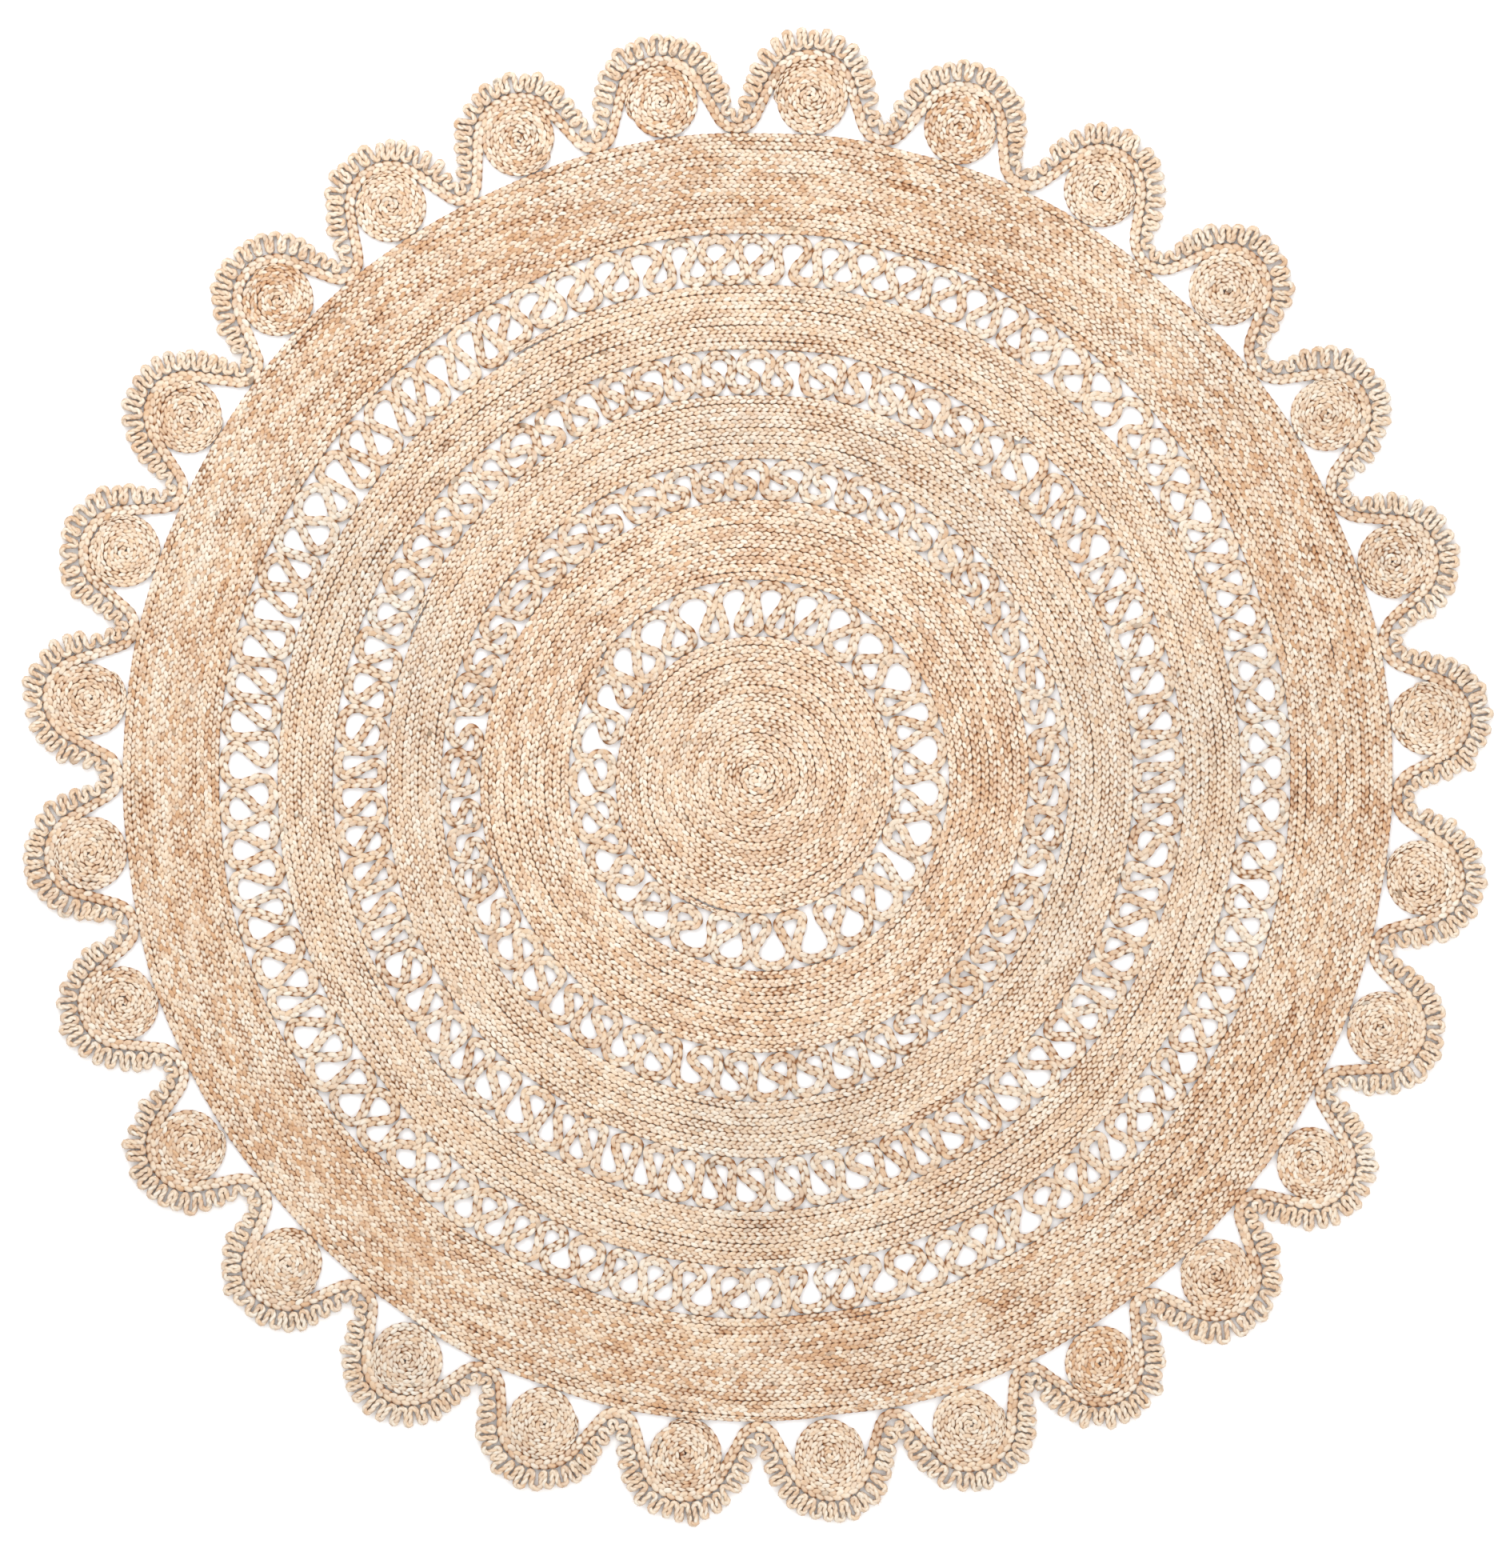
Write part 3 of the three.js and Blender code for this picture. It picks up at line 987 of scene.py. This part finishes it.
class RUG_OT_rosettes(bpy.types.Operator):
    """Coil the rosettes of the rim"""

    bl_idname = "rug.rosettes"
    bl_label = "Rosettes"

    def execute(self, context):
        size = sizes()
        for k, (centre, radius) in enumerate(rosette_places(), 1):
            rng = np.random.default_rng(ROSETTE_SEED + k)
            pitch = size.row_pitch * rng.uniform(0.91, 0.97)
            route, widths = coil_route(COIL_START, radius + pitch / 2, pitch, rng.uniform(0, TURN),
                                       ROSETTE_TIDY_TURNS)
            strands = plait(route + centre, widths, pitch * size.snugness, size.thickness, rng,
                            weave=size.weave_length * ROSETTE_WEAVE, steps=FREE_STEPS)
            kind = int(rng.integers(0, len(ROSETTE_LOOKS)))
            material = jute_material(f"Rosette Jute {kind + 1}", ROSETTE_LOOKS[kind], size.thickness)
            node = f"rosette_{k:02d}"
            add_piece(f"{node}_coil", numbered(strands), node, material)
        return {"FINISHED"}


class RUG_OT_scallop(bpy.types.Operator):
    """Lay the scallop plait over the rosettes"""

    bl_idname = "rug.scallop"
    bl_label = "Scallop Plait"

    def execute(self, context):
        size = sizes()
        rng = np.random.default_rng(SCALLOP_SEED)
        route, _ = scallop_route()
        width = size.plait_width * size.fullness * SCALLOP_FULLNESS
        strands = plait(route, np.ones(len(route)), width, size.thickness, rng, closed=True,
                        weave=size.weave_length * SCALLOP_WEAVE, steps=FREE_STEPS,
                        strand_width=SCALLOP_STRAND_WIDTH)
        material = jute_material("Scallop Jute", SCALLOP_LOOK, size.thickness)
        add_lengths("scallop_plait", numbered(strands), "scallop_braid", material,
                    RIM_LENGTHS)
        return {"FINISHED"}


def worn_fibres(route, height, rng):
    """A few fibres that stand out of the worn tip of each edging loop."""
    laid = laid_by_hand(route[:-1]).reshape(-1, LOOP_POINTS * LOOP_STEPS, 2)
    tips, roots = laid[:, LOOP_POINTS * LOOP_STEPS // 2], laid[:, 0]
    spots, ways = [], []
    for tip, root in zip(tips, roots):
        out = unit(tip - root)
        beside = out[::-1] * [-1, 1]
        for _ in range(rng.integers(2, 7)):
            spot = tip + out * rng.uniform(-0.004, 0.0012) + beside * rng.normal(0, 0.0025)
            spots.append([*spot, rng.uniform(0.2, 0.95) * height])
            ways.append([*out, rng.normal(0, 0.4)])
    return fibres(spots, ways, rng)


class RUG_OT_edging(bpy.types.Operator):
    """Fold the looped edging"""

    bl_idname = "rug.edging"
    bl_label = "Loop Edging"

    def execute(self, context):
        size = sizes()
        rng = np.random.default_rng(EDGING_SEED)
        low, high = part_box("loop_edging")
        height = high[2] - low[2]
        route = edging_route(rng)
        strands = plait(route, np.ones(len(route)), size.edge_width, height, rng, on_edge=True, closed=True,
                        weave=size.weave_length * EDGING_WEAVE, steps=FREE_STEPS)
        material = jute_material("Edging Jute", EDGING_LOOK, height, middle=EDGING_SHADE_MIDDLE)
        add_lengths("loop_edging_plait", numbered(strands), "loop_edging", material,
                    RIM_LENGTHS)

        hairs = numbered(worn_fibres(route, height, rng))
        for third in range(RIM_LENGTHS):
            share = hairs[third * len(hairs) // RIM_LENGTHS:(third + 1) * len(hairs) // RIM_LENGTHS]
            add_piece(f"loop_edging_fibres_{third + 1}", share, "loop_edging", material)
        return {"FINISHED"}


def add_floor(scene):
    mesh = bpy.data.meshes.new("floor")
    ends = (-FLOOR_REACH, FLOOR_REACH)
    mesh.from_pydata([(x, y, 0) for y in ends for x in ends], [], [(0, 1, 3, 2)])
    floor = bpy.data.objects.new("floor", mesh)
    floor.location.z = -FLOOR_DROP
    scene.collection.objects.link(floor)
    material = bpy.data.materials.new("Pale Floor")
    material.use_nodes = True
    shader = material.node_tree.nodes["Principled BSDF"]
    shader.inputs["Base Color"].default_value = colours().floor
    shader.inputs["Roughness"].default_value = 0.9
    shader.inputs["Specular IOR Level"].default_value = 0.1
    floor.data.materials.append(material)


def add_light(scene):
    world = bpy.data.worlds.new("Studio")
    world.use_nodes = True
    sky = world.node_tree.nodes["Background"]
    sky.inputs["Color"].default_value = (1, 1, 1, 1)
    sky.inputs["Strength"].default_value = SKY_STRENGTH
    scene.world = world
    for label, place, side, power in LAMPS:
        light = bpy.data.lights.new(label, "AREA")
        light.shape = "SQUARE"
        light.size = side
        light.energy = power
        lamp = bpy.data.objects.new(label, light)
        lamp.location = place
        lamp.rotation_euler = (-lamp.location).to_track_quat("-Z", "Y").to_euler()
        scene.collection.objects.link(lamp)


def add_camera(scene):
    lens = bpy.data.cameras.new("Camera")
    camera = bpy.data.objects.new("Camera", lens)
    lens.sensor_width = FILM_WIDTH
    lens.lens = FILM_WIDTH * CAMERA_HEIGHT / VIEW_HEIGHT
    lens.clip_end = 5 * CAMERA_HEIGHT
    camera.location = (*CAMERA_ASIDE, CAMERA_HEIGHT)
    scene.collection.objects.link(camera)
    scene.camera = camera


class RUG_OT_stage(bpy.types.Operator):
    """Set the floor, the light and the camera"""

    bl_idname = "rug.stage"
    bl_label = "Stage"

    def execute(self, context):
        add_floor(context.scene)
        add_light(context.scene)
        add_camera(context.scene)
        context.scene.view_settings.view_transform = "Standard"
        return {"FINISHED"}


class RUG_PT_panel(bpy.types.Panel):
    """Builds the rug step by step"""

    bl_idname = "RUG_PT_panel"
    bl_label = "Plaited Rug"
    bl_space_type = "VIEW_3D"
    bl_region_type = "UI"
    bl_category = "Rug"

    def draw(self, context):
        for operator in OPERATORS:
            self.layout.operator(operator.bl_idname)
        for group in (context.scene.rug_sizes, context.scene.rug_colours):
            box = self.layout.box()
            for name in group.__annotations__:
                box.prop(group, name)


OPERATORS = (
    RUG_OT_centre_disc,
    RUG_OT_solid_bands,
    RUG_OT_openwork,
    RUG_OT_rosettes,
    RUG_OT_scallop,
    RUG_OT_edging,
    RUG_OT_stage,
)
CLASSES = (RugSizes, RugColours) + OPERATORS + (RUG_PT_panel,)


def register():
    for item in CLASSES:
        bpy.utils.register_class(item)
    bpy.types.Scene.rug_sizes = PointerProperty(type=RugSizes)
    bpy.types.Scene.rug_colours = PointerProperty(type=RugColours)


def unregister():
    del bpy.types.Scene.rug_colours
    del bpy.types.Scene.rug_sizes
    for item in reversed(CLASSES):
        bpy.utils.unregister_class(item)


def main():
    register()
    bpy.ops.rug.centre_disc()
    bpy.ops.rug.solid_bands()
    bpy.ops.rug.openwork()
    bpy.ops.rug.rosettes()
    bpy.ops.rug.scallop()
    bpy.ops.rug.edging()
    bpy.ops.rug.stage()


if __name__ == "__main__":
    main()
